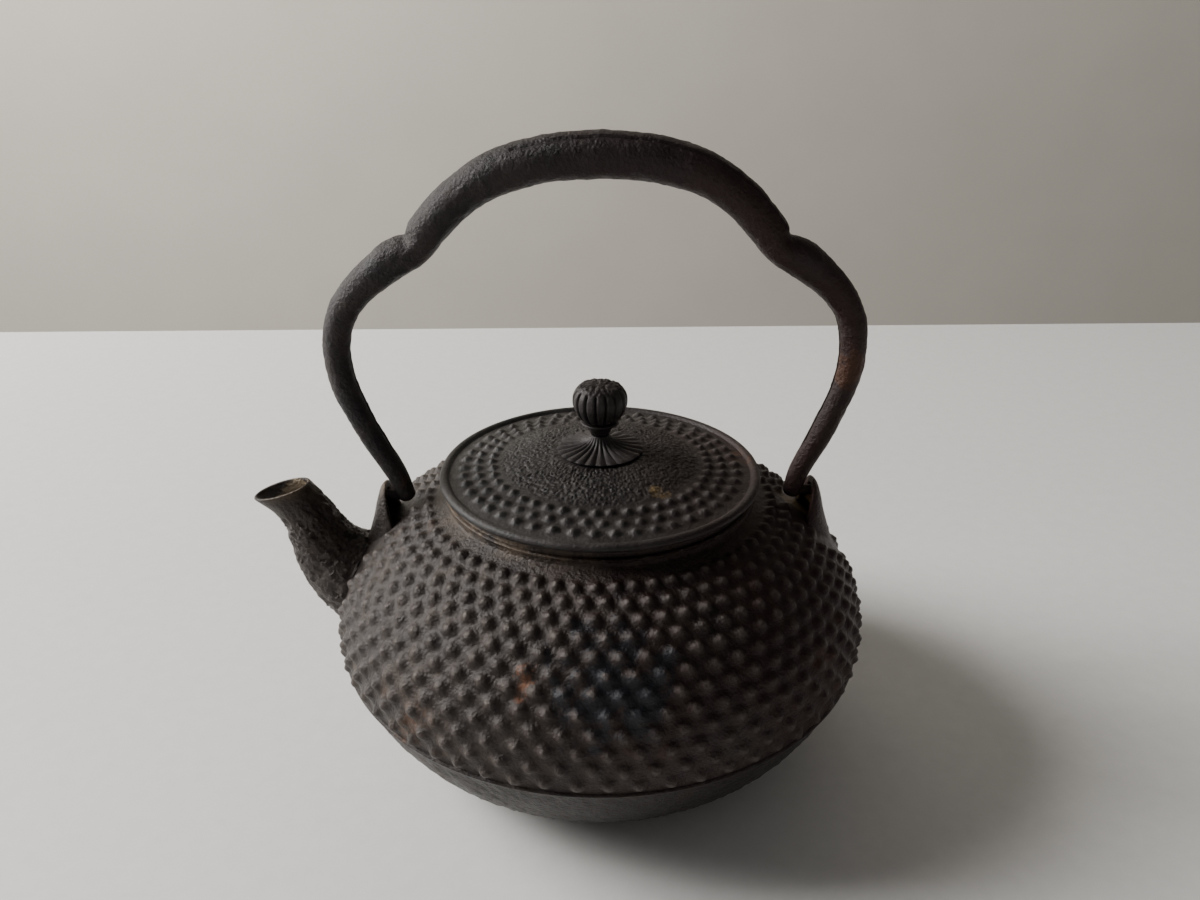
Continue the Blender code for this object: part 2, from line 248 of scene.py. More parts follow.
def stud_field(points, along, rows, count, width, seed, keep=None):
    """How high each point stands, 0 to 1, for rings of studs at given distances along."""
    hand = np.random.default_rng(seed)
    radius = np.hypot(points[:, 0], points[:, 1])
    turned = np.arctan2(points[:, 1], points[:, 0])
    pitch = 2 * math.pi / count
    field = np.zeros(len(points))
    for k, (row_along, row_radius, row_z) in enumerate(rows):
        phase = 0.5 * (k % 2)
        slip = hand.normal(0.0, HAND_SLIP, count) * pitch
        rise = hand.normal(0.0, HAND_RISE, count)
        tall = hand.normal(USUAL_HEIGHT, HEIGHT_SPREAD, count)
        if keep:
            for i in range(count):
                angle = (i + phase) * pitch
                tall[i] *= keep(row_radius * math.cos(angle), row_radius * math.sin(angle), row_z)
        index = np.round(turned / pitch - phase).astype(int)
        ring = index % count
        side = (turned - (index + phase) * pitch - slip[ring]) * radius
        up = along - row_along - rise[ring]
        reach = width * min(1.0, 0.35 + 0.65 * row_radius * pitch / (CROWDED * width))
        away = np.hypot(side, up) / reach
        soft_cone = 0.5 + 0.5 * np.cos(math.pi * np.clip(away, 0, 1))
        field = np.maximum(field, soft_cone ** SHARPNESS * tall[ring])
    return field


# %% [markdown]
# ## The kettle's body
# One skin runs from the middle of the base up the bowl, over the seam line and the studded
# shoulder to the collar, and back down inside, so the wall has its true thickness at the mouth.

# %% Body outline
BODY_STUDS = 64
BODY_SEGMENTS = BODY_STUDS * 9
FINE_STEP = 0.62 * MM
BOWL_STEP = 1.6 * MM

bowl = curve_through([(49.0 * MM, 0.6 * MM), (57.8 * MM, 5.0 * MM), (66.5 * MM, 11.2 * MM),
                      (73.2 * MM, 18.5 * MM), (78.5 * MM, 27.0 * MM), (82.4 * MM, 35.8 * MM)])
shoulder = curve_through([(82.8 * MM, 38.2 * MM), (83.3 * MM, 44.0 * MM), (81.8 * MM, 52.5 * MM),
                          (77.6 * MM, 61.2 * MM), (70.8 * MM, 70.0 * MM), (61.5 * MM, 77.6 * MM),
                          (48.5 * MM, 84.1 * MM)])
seam = [(82.7 * MM, 36.3 * MM), (83.25 * MM, 36.6 * MM), (83.45 * MM, 37.0 * MM),
        (83.3 * MM, 37.4 * MM), (82.85 * MM, 37.7 * MM)]
collar = [(48.1 * MM, 84.5 * MM), (48.0 * MM, 85.6 * MM), (48.35 * MM, 85.9 * MM),
          (48.4 * MM, 86.5 * MM), (48.1 * MM, 86.8 * MM), (47.2 * MM, 86.9 * MM),
          (46.9 * MM, 87.3 * MM), (46.9 * MM, COLLAR_TOP - 0.4 * MM),
          (46.5 * MM, COLLAR_TOP), (MOUTH_RADIUS + 0.4 * MM, COLLAR_TOP),
          (MOUTH_RADIUS, COLLAR_TOP - 0.4 * MM), (MOUTH_RADIUS, 81.4 * MM)]
lining = inset(np.vstack([even_steps(bowl, 8 * MM), even_steps(shoulder, 8 * MM)[:-1]]), WALL)
lining = [tuple(p) for p in lining[::-1] if p[0] > MOUTH_RADIUS + 1.5 * MM]
base = [(r * MM, 0.0) for r in (0, 20, 38, 45, 46)] + [(47.6 * MM, 0.2 * MM)]
body_outline = (base + [tuple(p) for p in even_steps(bowl, BOWL_STEP)] + seam
                + [tuple(p) for p in even_steps(shoulder, FINE_STEP)] + collar + lining
                + [(45.0 * MM, WALL), (20 * MM, WALL), (0.0, WALL)])
print("body outline", len(body_outline), "points")

# %% Turn the body and raise its studs
FIRST_ROW = 2.2 * MM
ROW_PITCH = 4.9 * MM
ROW_COUNT = 12
STUD_HEIGHT = 1.8 * MM
STUD_WIDTH = 3.25 * MM
# where the middle is, half length and half width of the bare ovals
SPOUT_OVAL = (55.5 * MM, 16.5 * MM, 15.5 * MM)
LUG_OVAL = (69.0 * MM, 11.5 * MM, 12.8 * MM)


def in_oval(along, across, oval):
    middle, half_length, half_width = oval
    return ((along - middle) / half_length) ** 2 + (across / half_width) ** 2 < 1


def clear_of_fittings(x, y, z):
    """No stud is pressed where the spout or a lug grows out of the shoulder."""
    under_spout = x < 0 and in_oval(z, y, SPOUT_OVAL)
    under_lug = in_oval(abs(x), y, LUG_OVAL)
    return 0.0 if under_spout or under_lug else 1.0


body = turn("body", body_outline, BODY_SEGMENTS)
co = points_of(body)
radius = np.hypot(co[:, 0], co[:, 1])
walk = lengths_along(shoulder)
outside_radius = np.interp(co[:, 2], shoulder[:, 1], shoulder[:, 0])
outside = (np.abs(radius - outside_radius) < 0.2 * MM) & (co[:, 2] > 38.1 * MM)
along = np.interp(co[:, 2], shoulder[:, 1], walk)
rows = []
for k in range(ROW_COUNT):
    at = FIRST_ROW + ROW_PITCH * k
    rows.append((at, np.interp(at, walk, shoulder[:, 0]), np.interp(at, walk, shoulder[:, 1])))
studs = stud_field(co, along, rows, BODY_STUDS, STUD_WIDTH, 11, clear_of_fittings) * outside
# The stud heights also make the tips lighter in the material: partly wear, partly painted
# highlight.
keep_attribute(body, "stud", studs)
push(body, studs, STUD_HEIGHT, "studs")
below = (co[:, 2] < 36.0 * MM) & (co[:, 2] > 0.5 * MM) & (radius > 47 * MM)
roughen(body, below * 1.0, 0.9 * MM, 2.1 * MM)
roughen(body, outside * 0.9, 0.32 * MM, 1.4 * MM, name="sand")
print("studs raised:", ROW_COUNT, "rings of", BODY_STUDS)

# %% [markdown]
# ## Swept pieces
# The spout and the bail follow a bent centre line. By hand this is a circle whose loop is
# extruded again and again, and moved, turned and scaled each time. One matrix holds the three
# moves, and the loop is taken from the last section's matrix to the next one's.


# %% Sweep
def section_matrix(x, z, angle, high, wide):
    """Takes a unit circle in XY to an oval round a path in the XZ plane."""
    along_path = Vector((math.cos(angle), 0, math.sin(angle)))
    across = Vector((0, 1, 0))
    up = Vector((-math.sin(angle), 0, math.cos(angle)))
    matrix = Matrix((up * high, across * wide, along_path)).transposed().to_4x4()
    return Matrix.Translation((x, 0, z)) @ matrix


def sweep(name, sections, sides, caps=True):
    deselect_all()
    bpy.ops.mesh.primitive_circle_add(vertices=sides, radius=1.0)
    piece = name_piece(name)
    bpy.ops.object.mode_set(mode='EDIT')
    bpy.ops.mesh.select_all(action='SELECT')
    last = Matrix()
    for i, section in enumerate(sections):
        if i:
            bpy.ops.mesh.extrude_edges_move()
        matrix = section_matrix(*section)
        loop = bmesh.from_edit_mesh(piece.data)
        move = matrix @ last.inverted()
        for vertex in loop.verts:
            if vertex.select:
                vertex.co = move @ vertex.co
        bmesh.update_edit_mesh(piece.data)
        last = matrix
    if caps:
        bpy.ops.mesh.edge_face_add()
        bpy.ops.mesh.select_all(action='DESELECT')
        bpy.ops.mesh.select_non_manifold()
        bpy.ops.mesh.edge_face_add()
    bpy.ops.mesh.select_all(action='SELECT')
    bpy.ops.mesh.remove_doubles(threshold=1e-6)
    bpy.ops.mesh.normals_make_consistent(inside=False)
    bpy.ops.object.mode_set(mode='OBJECT')
    print(name, len(piece.data.polygons), "faces")
    return piece


def combine(piece, other, operation='DIFFERENCE'):
    """Boolean one piece with another, and throw the other away."""
    modifier = piece.modifiers.new(other.name, 'BOOLEAN')
    modifier.object = other
    modifier.operation = operation
    modifier.solver = 'EXACT'
    apply_modifier(piece, modifier)
    bpy.data.objects.remove(other, do_unlink=True)


# %% [markdown]
# ## The spout
# The spout is cast with the body, and it grows out of the shoulder with a wide root. Its skin is
# lumpy like bark and calms down towards the mouth. The outside is swept from root to mouth, the
# lip is rounded over, and the same loop goes back down inside, so the spout is a true pipe.

# %% Spout
SPOUT_LINE = [(-71.0, 49.0, 150, 16.5, 15.0), (-81.0, 55.4, 142, 14.0, 13.6),
              (-87.0, 62.4, 122, 11.2, 11.2), (-90.0, 69.4, 107, 9.1, 9.1),
              (-92.5, 75.9, 110, 8.0, 7.7), (-95.8, 80.9, 112, 8.0, 6.8),
              (-99.6, 84.6, 105, 9.2, 6.4)]
SPOUT_WALL = 2.4 * MM
SPOUT_SIDES = 96

line = curve_through(SPOUT_LINE, 24)
line[:, :2] *= MM
line[:, 3:] *= MM
line[:, 2] = np.radians(line[:, 2])
line = even_steps(line, 0.6 * MM)
share = np.linspace(0, 1, len(line))
flare = np.clip((share - 0.72) / 0.28, 0, 1)
thin = SPOUT_WALL + (0.9 * np.sin(math.pi * flare) - 1.3 * flare) * MM
outer = [tuple(row) for row in line]
inner = [(x, z, a, h - t, w - t) for (x, z, a, h, w), t in zip(line, thin)]


def lip(reach, shrink):
    """A section of the rounded lip, beyond the mouth."""
    x, z, a, h, w = line[-1]
    less = thin[-1] * shrink
    return (x + math.cos(a) * reach, z + math.sin(a) * reach, a, h - less, w - less)


rim = [lip(0.30 * MM, 0.12), lip(0.48 * MM, 0.5), lip(0.30 * MM, 0.88)]
spout = sweep("spout_skin", outer + rim + inner[::-2] + [outer[0]], SPOUT_SIDES, caps=False)
co = points_of(spout)
nearest = np.argmin(np.hypot(co[:, 0:1] - line[None, :, 0], co[:, 2:3] - line[None, :, 1]), axis=1)
section = line[nearest]
off_axis = np.hypot((co[:, 0] - section[:, 0]) * -np.sin(section[:, 2])
                    + (co[:, 2] - section[:, 1]) * np.cos(section[:, 2]), co[:, 1])
is_outer = off_axis > (np.minimum(section[:, 3], section[:, 4]) - thin[nearest] * 0.5)
bark = is_outer * np.clip((0.95 - share[nearest]) * 5, 0, 1)
# The lumps' heights make them lighter in the material: partly wear, partly painted highlight.
keep_attribute(spout, "stud", bark * 0.5)
# Inside the mouth's dish the colour is made lighter: its own brown with painted light.
keep_attribute(spout, "inside", np.clip((share[nearest] - 0.75) * 8, 0, 1) * (1 - is_outer)
               * (share[nearest] < 0.985))
roughen(spout, bark, 1.3 * MM, 3.0 * MM, name="lumps")
roughen(spout, bark, -0.9 * MM, 1.2 * MM, kind='VORONOI', name="pits")
roughen(spout, bark, 0.7 * MM, 0.9 * MM, name="grit")

# %% Open the wall behind the spout
bore_line = [(x, z, a, h - SPOUT_WALL, w - SPOUT_WALL) for x, z, a, h, w in line[:30:3]]
x, z, a, h, w = bore_line[0]
start = (x - math.cos(a) * 12 * MM, z - math.sin(a) * 12 * MM, a, h, w)
bore = sweep("bore", [start] + bore_line, 32)
combine(body, bore)
print("body", len(body.data.polygons), "faces with its spout hole")

# %% [markdown]
# ## Trimming what stands on the wall
# The spout and the lugs are one casting with the wall. Here they run into it and stop half way
# through, so there is no gap outside and nothing sticks out inside.


# %% Wall core
def wall_core():
    middle = inset(np.vstack([even_steps(bowl, 4 * MM), even_steps(shoulder, 4 * MM)]), 1.6 * MM)
    outline = [(0.0, middle[0][1])] + [tuple(p) for p in middle] + [(0.0, middle[-1][1])]
    return turn("core", outline, 96)


combine(spout, wall_core())

# %% [markdown]
# ## The lugs
# A lug is a hollow half cone that grows from the shoulder and opens towards the lid. It is an
# oval loop, extruded upwards and shrunk, whose inner side is pressed flat. A smaller cone hollows
# it, and a bar along the hinge line drills the hole for the bail's hook. A voxel remesh then
# melts the sharp corners, as molten iron does in sand.

# %% Lugs
# height, edge, depth outwards, half width, in millimetres
LUG_LINE = [(61.5, 61.6, 14.7, 11.5), (63.0, 61.8, 14.2, 11.2), (70.0, 63.2, 10.4, 9.9),
            (76.0, 64.9, 6.7, 8.4), (80.0, 65.8, 4.8, 7.0), (83.2, 66.4, 3.4, 5.6),
            (85.5, 66.7, 2.0, 4.0), (86.8, 66.9, 0.7, 1.8)]
LUG_WALL = 2.2 * MM
LUG_VOXEL = 0.32 * MM


def cone(name, side, rows, less):
    """Oval rings stacked upwards: a loop extruded, shrunk and moved, row by row."""
    sections = [(side * edge, z, math.pi / 2, max(depth - less, 0.4 * MM),
                 max(width - less, 0.6 * MM)) for z, edge, depth, width in rows]
    return sweep(name, sections, 48)


def press_flat(piece, side):
    """Press everything on the lid's side of the open edges flat against them."""
    co = points_of(piece)
    rows = curve_through(LUG_LINE, 8) * MM
    edge = np.interp(co[:, 2], rows[:, 0], rows[:, 1])
    co[:, 0] = side * np.maximum(side * co[:, 0], edge)
    piece.data.vertices.foreach_set("co", co.ravel())
    piece.data.update()


def make_lug(name, side):
    rows = curve_through(LUG_LINE, 4) * MM
    lug = cone(name, side, rows, 0.0)
    press_flat(lug, side)
    combine(lug, cone("hollow", side, rows[:-9], LUG_WALL))
    combine(lug, wall_core())
    deselect_all()
    bpy.ops.mesh.primitive_cylinder_add(vertices=32, radius=2.2 * MM, depth=16 * MM,
                                        location=(side * 68 * MM, 0, HINGE_HEIGHT),
                                        rotation=(0, math.pi / 2, 0))
    combine(lug, bpy.context.object)
    modifier = lug.modifiers.new("melt", 'REMESH')
    modifier.mode = 'VOXEL'
    modifier.voxel_size = LUG_VOXEL
    apply_modifier(lug, modifier)
    modifier = lug.modifiers.new("soften", 'SMOOTH')
    modifier.iterations = 5
    apply_modifier(lug, modifier)
    keep_attribute(lug, "stud", np.zeros(len(lug.data.vertices)))
    print(name, len(lug.data.polygons), "faces")
    return lug


lug_left = make_lug("lug_left", -1)
lug_right = make_lug("lug_right", 1)

# %% [markdown]
# ## The bail
# The bail is sheet iron, hammered round a bar into a tube and bent into an arch with two kinked
# shoulders. The loop is swept along half of the arch and back down the other half. The seam where
# the sheet's edges meet is a groove down the inside, and broad shallow dents are the hammer's.
# Each kink has a notch on its outer side with a lobe below it, pushed in and out by weights that
# fade with distance. A thin fold runs along the front of the arch.

# %% Bail
# x, z, half thickness, half width, in millimetres, from the foot to the top
BAIL_HALF = [(60.9, 82.5, 2.8, 2.8), (63.2, 90.0, 3.2, 3.4), (68.1, 100.3, 3.5, 3.7),
             (72.4, 110.5, 3.7, 3.9), (75.5, 120.5, 3.9, 4.2), (76.3, 131.0, 4.0, 4.5),
             (74.2, 140.2, 4.2, 4.8), (69.8, 147.0, 4.6, 5.2), (64.0, 152.4, 5.0, 5.5),
             (57.5, 156.8, 5.2, 5.8), (51.5, 161.0, 5.3, 6.0), (46.5, 166.8, 5.4, 6.2),
             (39.5, 173.8, 5.6, 6.4), (29.2, 180.3, 6.0, 6.7), (15.0, 184.4, 6.3, 6.9),
             (0.0, 185.7, 6.4, 7.0)]
SWAY = 1.0 * MM
BAIL_SIDES = 48

half = curve_through(BAIL_HALF, 24) * MM
mirrored = half[-2::-1] * np.array([-1, 1, 1, 1])
arch = even_steps(np.vstack([half, mirrored]), 0.9 * MM)
rise = half[-1][1] - HINGE_HEIGHT
arch[:, 0] -= SWAY * np.sin(math.pi * (arch[:, 1] - HINGE_HEIGHT) / rise)
slope = np.gradient(arch[:, :2], axis=0)
angles = np.arctan2(slope[:, 1], slope[:, 0])
sections = [(x, z, a, thick, wide) for (x, z, thick, wide), a in zip(arch, angles)]


def rounded_foot(section, way):
    """Sections that close the foot with a dome, from its tip inwards."""
    x, z, a, thick, wide = section
    tips = []
    for turn_by in (80, 60, 40, 20):
        t = math.radians(turn_by)
        reach = -way * 2.1 * MM * math.sin(t)
        tips.append((x + math.cos(a) * reach, z + math.sin(a) * reach, a,
                     thick * math.cos(t), wide * math.cos(t)))
    return tips


sections = rounded_foot(sections[0], 1) + sections + rounded_foot(sections[-1], -1)[::-1]
bail = sweep("bail", sections, BAIL_SIDES)

# %% Seam, notches and hammer marks
# x and z of the arch's centre line there, and how far the mark reaches along it
NOTCH = (51.5 * MM, 161.2 * MM, 2.2 * MM)
LOBE = (59.0 * MM, 156.4 * MM, 4.0 * MM)
FOLD_ANGLE = 42
FOLD_LEFT = -25 * MM
FOLD_RIGHT = 52 * MM

co = points_of(bail)
nearest = np.argmin(np.hypot(co[:, 0:1] - arch[None, :, 0], co[:, 2:3] - arch[None, :, 1]), axis=1)
a = angles[nearest]
outward = ((co[:, 0] - arch[nearest, 0]) * np.sin(a) - (co[:, 2] - arch[nearest, 1]) * np.cos(a))
high = np.clip((co[:, 2] - 96 * MM) / (8 * MM), 0, 1)
on_seam = (np.abs(co[:, 1]) < 0.25 * MM) & (outward < 0)
push(bail, on_seam * high, -2.2 * MM, "seam")
facing_out = np.clip(outward / (4 * MM), 0, 1)


def fading(x, z, reach):
    """1 at a place on both halves of the arch, fading to 0 along it."""
    away = np.hypot(np.abs(arch[nearest, 0]) - x, arch[nearest, 1] - z)
    return np.exp(-(away / reach) ** 2)


push(bail, facing_out * fading(*NOTCH), -1.3 * MM, "notch")
push(bail, facing_out * fading(*LOBE), 0.8 * MM, "lobe")
round_angle = np.degrees(np.arctan2(-co[:, 1], outward))
on_fold = ((np.abs(round_angle - FOLD_ANGLE) < 4.5) & (facing_out > 0)
           & (co[:, 0] > FOLD_LEFT) & (co[:, 0] < FOLD_RIGHT))
push(bail, on_fold * 1.0, -0.55 * MM, "fold")
roughen(bail, 0.3 + 0.7 * high, 0.6 * MM, 11.0 * MM, name="hammer")
roughen(bail, 0.4 + 0.6 * high, 0.5 * MM, 2.0 * MM, name="scale")
keep_attribute(bail, "stud", np.zeros(len(bail.data.vertices)))
for side in (1, -1):
    deselect_all()
    bpy.ops.mesh.primitive_cylinder_add(vertices=24, radius=1.7 * MM, depth=8.3 * MM,
                                        location=(side * 65.05 * MM, 0, HINGE_HEIGHT),
                                        rotation=(0, math.pi / 2, 0))
    combine(bail, bpy.context.object, 'UNION')
print("bail", len(bail.data.polygons), "faces")

# %% [markdown]
# ## The lid
# The lid is a low dome with a bead round its edge, three rings of studs and a pitted middle that
# founders call the iron's skin. Under it a ring drops into the mouth.

# %% Lid
LID_STUDS = 46
LID_SEGMENTS = LID_STUDS * 12
CROWN_RADIUS = 14.5 * MM
FLANGE_LOW = LID_LOW.z
SEAT = 89.3 * MM
LID_ROWS = (33.7 * MM, 38.0 * MM, 42.3 * MM)

dome = curve_through([(14.5 * MM, LID_HIGH.z), (22.5 * MM, 96.0 * MM), (31.0 * MM, 93.8 * MM),
                      (39.5 * MM, 92.0 * MM), (46.0 * MM, 91.0 * MM)])
bead = []
for degrees in range(150, -91, -20):
    turned_by = math.radians(degrees)
    bead.append((48.25 * MM + 1.45 * MM * math.cos(turned_by),
                 SEAT + 1.3 * MM + 1.3 * MM * math.sin(turned_by)))
under = [(r, z - 2.8 * MM) for r, z in even_steps(dome, 6 * MM)[::-1] if r < 37 * MM]
lid_outline = ([(PIN_HOLE, LID_HIGH.z), (6 * MM, LID_HIGH.z), (10 * MM, LID_HIGH.z),
                (12.5 * MM, LID_HIGH.z)]
               + [tuple(p) for p in even_steps(dome[:13], 0.30 * MM)]
               + [tuple(p) for p in even_steps(dome[12:25], 0.32 * MM)[1:]]
               + [tuple(p) for p in even_steps(dome[24:], 0.45 * MM)[1:]]
               + [(46.6 * MM, 90.95 * MM)] + bead
               + [(42.8 * MM, SEAT), (42.5 * MM, FLANGE_LOW), (40.4 * MM, FLANGE_LOW),
                  (40.4 * MM, SEAT - 0.6 * MM)] + under
               + [(PIN_HOLE, LID_HIGH.z - 2.8 * MM), (PIN_HOLE, LID_HIGH.z)])
lid = turn("lid_top", lid_outline, LID_SEGMENTS)
co = points_of(lid)
radius = np.hypot(co[:, 0], co[:, 1])
top = co[:, 2] > np.interp(radius, dome[:, 0], dome[:, 1]) - 0.8 * MM
rows = [(r, r, 92 * MM) for r in LID_ROWS]
lid_studs = stud_field(co, radius, rows, LID_STUDS, 2.6 * MM, 23) * top
# The stud heights also make the tips lighter in the material: partly wear, partly painted
# highlight.
keep_attribute(lid, "stud", lid_studs)
push(lid, lid_studs, 1.3 * MM, "studs")
centre = np.clip((31.5 * MM - radius) / (2 * MM), 0, 1) * np.clip((radius - 12 * MM) / MM, 0, 1)
roughen(lid, centre * top, -0.62 * MM, 0.9 * MM, kind='VORONOI', name="pits")
roughen(lid, centre * top, 0.35 * MM, 1.0 * MM)
roughen(lid, top * (1 - lid_studs) * (radius < 46 * MM), 0.25 * MM, 1.6 * MM, name="sand")
print("lid studs raised:", len(rows), "rings of", LID_STUDS)

# %% [markdown]
# ## The knob and its seat
# The knob is a chrysanthemum bud with petals that meet in sharp creases, under a pitted cap. It
# stands on an opened flower whose petals are flutes in a flat cone. Both are turned, then creased
# by pushing narrow lines of points inwards.

# %% Petals
def across_petal(piece, count):
    """0 along the middle of each petal, 1 where two petals meet."""
    co = points_of(piece)
    turned = np.arctan2(co[:, 1], co[:, 0]) * count / (2 * math.pi)
    return np.abs((turned + 0.5) % 1 - 0.5) * 2


# %% Knob seat
SEAT_PETALS = 24
foot = SEAT_LOW.z
seat_outline = [(PIN_HOLE, foot), (13.0 * MM, foot), (13.4 * MM, foot + 0.25 * MM),
                (13.4 * MM, foot + 0.6 * MM), (12.9 * MM, foot + 0.85 * MM)]
flower = curve_through([(12.3 * MM, foot + 1.0 * MM), (9.5 * MM, foot + 1.4 * MM),
                        (6.6 * MM, foot + 2.0 * MM), (4.4 * MM, foot + 3.0 * MM),
                        (3.3 * MM, foot + 4.2 * MM), (2.8 * MM, SEAT_HIGH.z)])
seat_outline += [tuple(p) for p in even_steps(flower, 0.5 * MM)]
seat_outline += [(PIN_HOLE, SEAT_HIGH.z), (PIN_HOLE, foot)]
knob_seat = turn("knob_flower", seat_outline, SEAT_PETALS * 12)
co = points_of(knob_seat)
radius = np.hypot(co[:, 0], co[:, 1])
petal = across_petal(knob_seat, SEAT_PETALS) ** 1.6
shown = (co[:, 2] > foot + 0.2 * MM) * np.clip((radius - 2.6 * MM) / (3 * MM), 0, 1)
push(knob_seat, petal * shown, -0.50 * MM, "flutes")
# Petal ridges lighter and flutes darker in the material: partly wear, partly painted highlight and
# shade.
keep_attribute(knob_seat, "stud", (1 - petal) * shown * 0.5)

# %% Knob
KNOB_PETALS = 16
foot = KNOB_LOW.z
bud = curve_through([(4.8 * MM, foot + 4.3 * MM), (6.5 * MM, foot + 5.8 * MM),
                     (7.9 * MM, foot + 8.3 * MM), (8.4 * MM, foot + 10.9 * MM),
                     (7.9 * MM, foot + 13.4 * MM), (6.1 * MM, foot + 15.4 * MM),
                     (2.8 * MM, KNOB_HIGH.z - 0.2 * MM), (0.0, KNOB_HIGH.z)])
knob_outline = [(0.0, foot + 9.6 * MM), (PIN_HOLE, foot + 9.6 * MM), (PIN_HOLE, foot),
                (2.8 * MM, foot), (3.1 * MM, foot + 0.4 * MM), (3.5 * MM, foot + 1.6 * MM),
                (4.4 * MM, foot + 2.6 * MM), (5.3 * MM, foot + 3.2 * MM),
                (5.9 * MM, foot + 3.7 * MM), (5.7 * MM, foot + 4.1 * MM)]
knob_outline += [tuple(p) for p in even_steps(bud, 0.42 * MM)[:-1]] + [(0.0, KNOB_HIGH.z)]
knob = turn("knob_bud", knob_outline, KNOB_PETALS * 12)
co = points_of(knob)
crease = np.clip((across_petal(knob, KNOB_PETALS) - 0.50) / 0.50, 0, 1) ** 1.5
on_bud = (np.clip((co[:, 2] - foot - 4.2 * MM) / (1.5 * MM), 0, 1)
          * np.clip((foot + 15.0 * MM - co[:, 2]) / (0.8 * MM), 0, 1))
push(knob, crease * on_bud, -0.8 * MM, "creases")
cap = np.clip((co[:, 2] - foot - 14.6 * MM) / (0.6 * MM), 0, 1)
roughen(knob, cap, 1.1 * MM, 1.0 * MM)
# Petal faces lighter and creases darker in the material: partly wear, partly painted highlight and
# shade.
keep_attribute(knob, "stud", (1 - crease) * on_bud * 0.6)

# %% [markdown]
# ## Iron
# Old iron is not one colour. It is a brown-black lacquer over oxide: greyer where dust sits,
# worn towards bare metal on tips and edges, maroon where the lacquer has gone thin, and orange
# where rust has bloomed. The maroon grows towards +X, the side away from the window, and there
# it is painted shade as well as thin lacquer. The tips' lighter colour is partly wear and partly
# a painted highlight, and the hollows between them stay darker as painted shade. The bowl below
# the seam is darker, and inside the spout's mouth the dish is its brown with painted light. All
# of it is noise on Object coordinates, plus the "stud" attribute for the tips. A few blotches
# have a place of their own: a stud that rusted, a darker bluish patch at the front, crust in a
# lug. Fine pits are bump, because they are smaller than the mesh.


# %% Node helpers
def add_node(tree, kind, values=None, **settings):
    """Add a node; values holds numbers, colours or sockets to link, by input name."""
    made = tree.nodes.new(kind)
    for name, setting in settings.items():
        setattr(made, name, setting)
    for name, value in (values or {}).items():
        socket = made.inputs[name]
        if isinstance(value, bpy.types.NodeSocket):
            tree.links.new(value, socket)
        else:
            socket.default_value = value
    return made


def noise(tree, coordinates, scale, detail=4.0, roughness=0.55):
    made = add_node(tree, 'ShaderNodeTexNoise', {"Vector": coordinates, "Scale": scale,
                                                 "Detail": detail, "Roughness": roughness})
    return made.outputs["Fac"]


def stretch(tree, value, low, high, to_low=0.0, to_high=1.0):
    made = add_node(tree, 'ShaderNodeMapRange', {"Value": value, "From Min": low, "From Max": high,
                                                 "To Min": to_low, "To Max": to_high})
    return made.outputs["Result"]


def blend_colours(tree, share, first, second):
    made = add_node(tree, 'ShaderNodeMix', data_type='RGBA')
    for socket, value in ((made.inputs[0], share), (made.inputs[6], first),
                          (made.inputs[7], second)):
        if isinstance(value, bpy.types.NodeSocket):
            tree.links.new(value, socket)
        else:
            socket.default_value = value
    return made.outputs[2]


def maths(tree, operation, first, second):
    made = add_node(tree, 'ShaderNodeMath', operation=operation)
    for socket, value in zip(made.inputs, (first, second)):
        if isinstance(value, bpy.types.NodeSocket):
            tree.links.new(value, socket)
        else:
            socket.default_value = value
    return made.outputs[0]


def bump(tree, height, distance, strength=1.0, under=None):
    values = {"Height": height, "Distance": distance, "Strength": strength}
    if under:
        values["Normal"] = under
    return add_node(tree, 'ShaderNodeBump', values).outputs["Normal"]


# %% Blotches
RUST = (0.20, 0.075, 0.030)
SPECK_RUST = (0.19, 0.075, 0.025)
OCHRE = (0.19, 0.125, 0.055)
COLLAR_STAIN = (0.115, 0.080, 0.050)
SPOUT_DISH_PAINTED_LIGHT = (0.24, 0.19, 0.13)
DARK_FRONT_PATCH = (0.010, 0.012, 0.017)
BOWL_DARK = (0.011, 0.0075, 0.0065)


def mark(tree, place, patchy, at, reach):
    """A blotch with a ragged edge round one place."""
    away = add_node(tree, 'ShaderNodeVectorMath', {0: place, 1: at}, operation='DISTANCE')
    edge = stretch(tree, patchy, 0.3, 0.7, -reach, reach)
    ragged = maths(tree, 'ADD', away.outputs["Value"], edge)
    return stretch(tree, ragged, reach, reach * 0.4, 0.0, 0.9)


